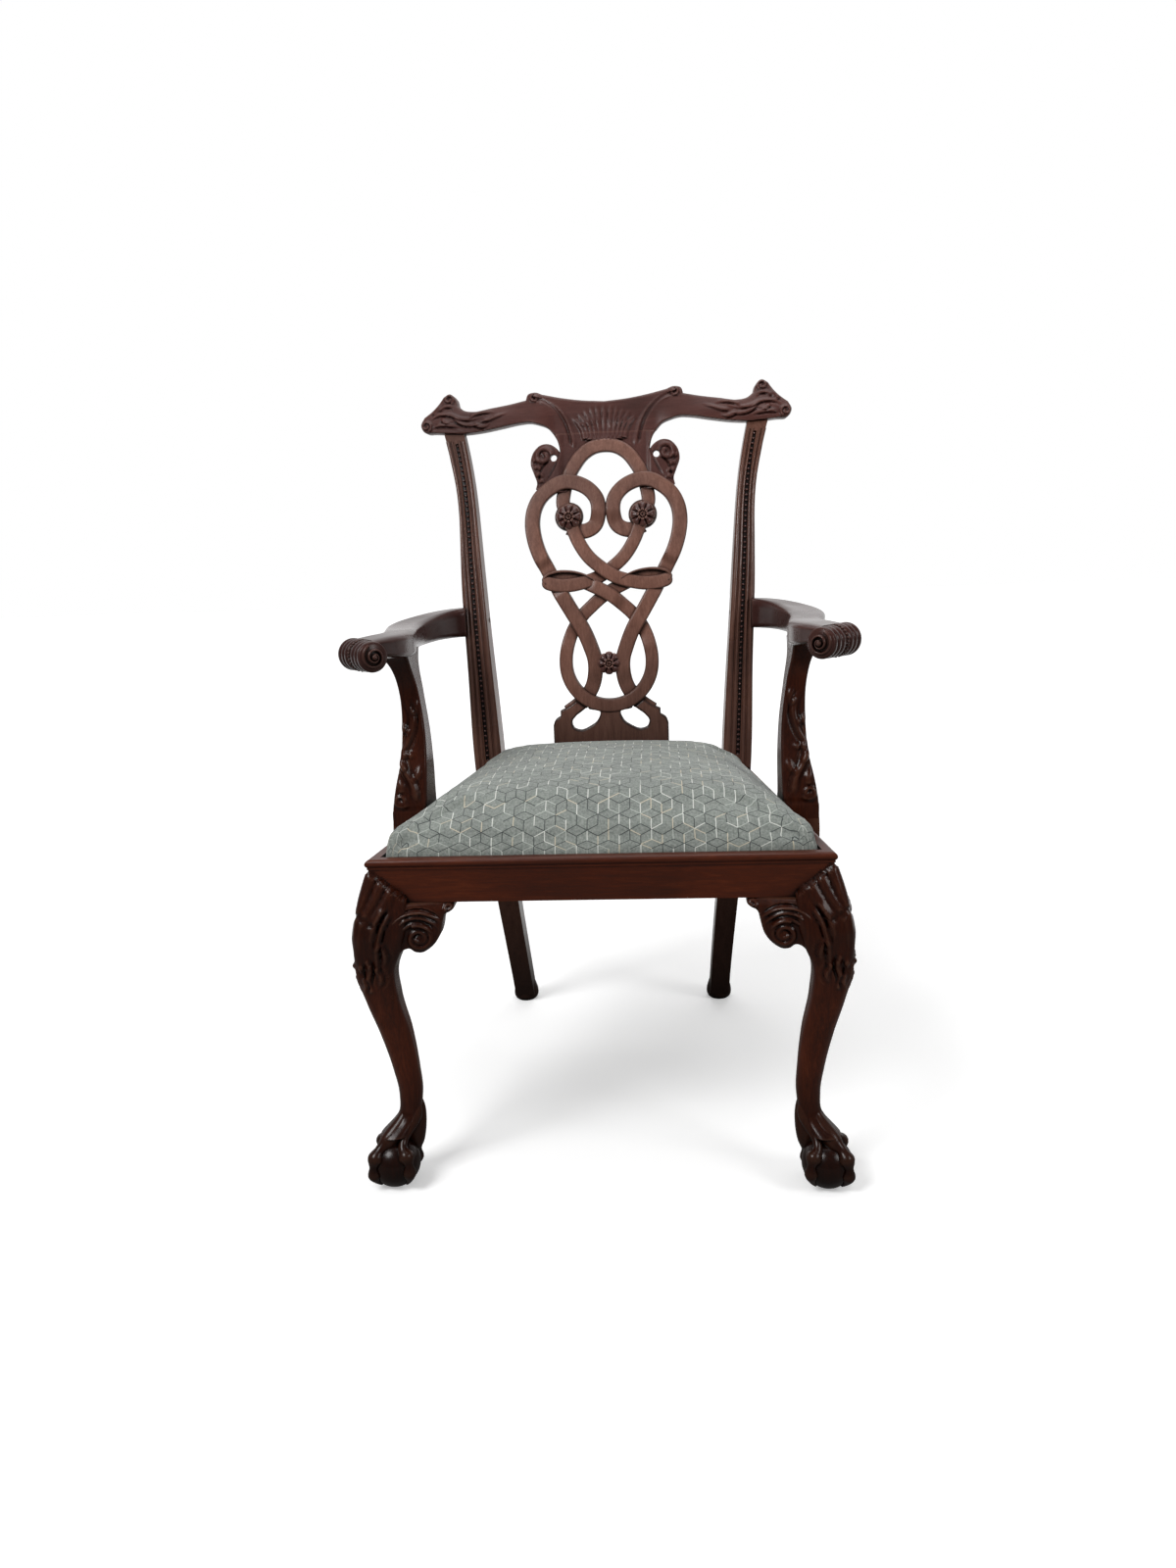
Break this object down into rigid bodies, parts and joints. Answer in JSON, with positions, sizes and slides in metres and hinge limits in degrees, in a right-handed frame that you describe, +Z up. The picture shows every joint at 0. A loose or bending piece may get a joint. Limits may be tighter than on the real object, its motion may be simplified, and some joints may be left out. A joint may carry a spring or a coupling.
{
  "type": "carved dining armchair",
  "caption": "Carved mahogany dining armchair with a pierced interlaced splat, serpentine crest and arms, cabriole front legs on ball-and-claw feet and a lift-out upholstered seat.",
  "frame": {"origin": "On the floor, under the middle of the chair's bounding box.", "axes": "X across the chair, to the right as seen from the front; Y from front to back; Z up."},
  "size_m": [0.6356, 0.6466, 1.0181],
  "materials": {
    "mahogany": "french polished, worn on the edges",
    "beech": "bare",
    "seat_fabric": "woven, geometric line pattern",
    "seat_stuffing": "stuffed pad under calico",
    "webbing": "plain jute webbing",
    "screw_steel": "plain"
  },
  "bodies": {
    "chair_frame": {"crest_rail": "mahogany", "splat": "mahogany", "splat_rosettes": "mahogany", "splat_shoe": "mahogany", "front_seat_rail": "mahogany", "rear_seat_rail": "mahogany", "front_lip": "mahogany", "right_back_post": "mahogany", "right_seat_rail": "mahogany", "right_front_leg": "mahogany", "right_front_knee_block": "mahogany", "right_side_knee_block": "mahogany", "right_arm": "mahogany", "right_arm_support": "mahogany", "right_front_side_lip": "mahogany", "right_rear_side_lip": "mahogany", "right_front_corner_block": "beech", "right_rear_corner_block": "beech", "left_back_post": "mahogany", "left_seat_rail": "mahogany", "left_front_leg": "mahogany", "left_front_knee_block": "mahogany", "left_side_knee_block": "mahogany", "left_arm": "mahogany", "left_arm_support": "mahogany", "left_front_side_lip": "mahogany", "left_rear_side_lip": "mahogany", "left_front_corner_block": "beech", "left_rear_corner_block": "beech", "corner_block_screws": "screw_steel", "arm_support_screws": "screw_steel", "arm_screws": "screw_steel"},
    "drop_in_seat": {"seat_frame_right": "beech", "seat_frame_left": "beech", "seat_frame_front": "beech", "seat_frame_rear": "beech", "seat_webbing": "webbing", "seat_pad": "seat_stuffing", "seat_cover": "seat_fabric"}
  },
  "joints": [
    {"name": "seat_lift", "type": "slide", "parent": "chair_frame", "child": "drop_in_seat", "axis": [0, 0, 1], "range_m": [0, 0.12]}
  ]
}
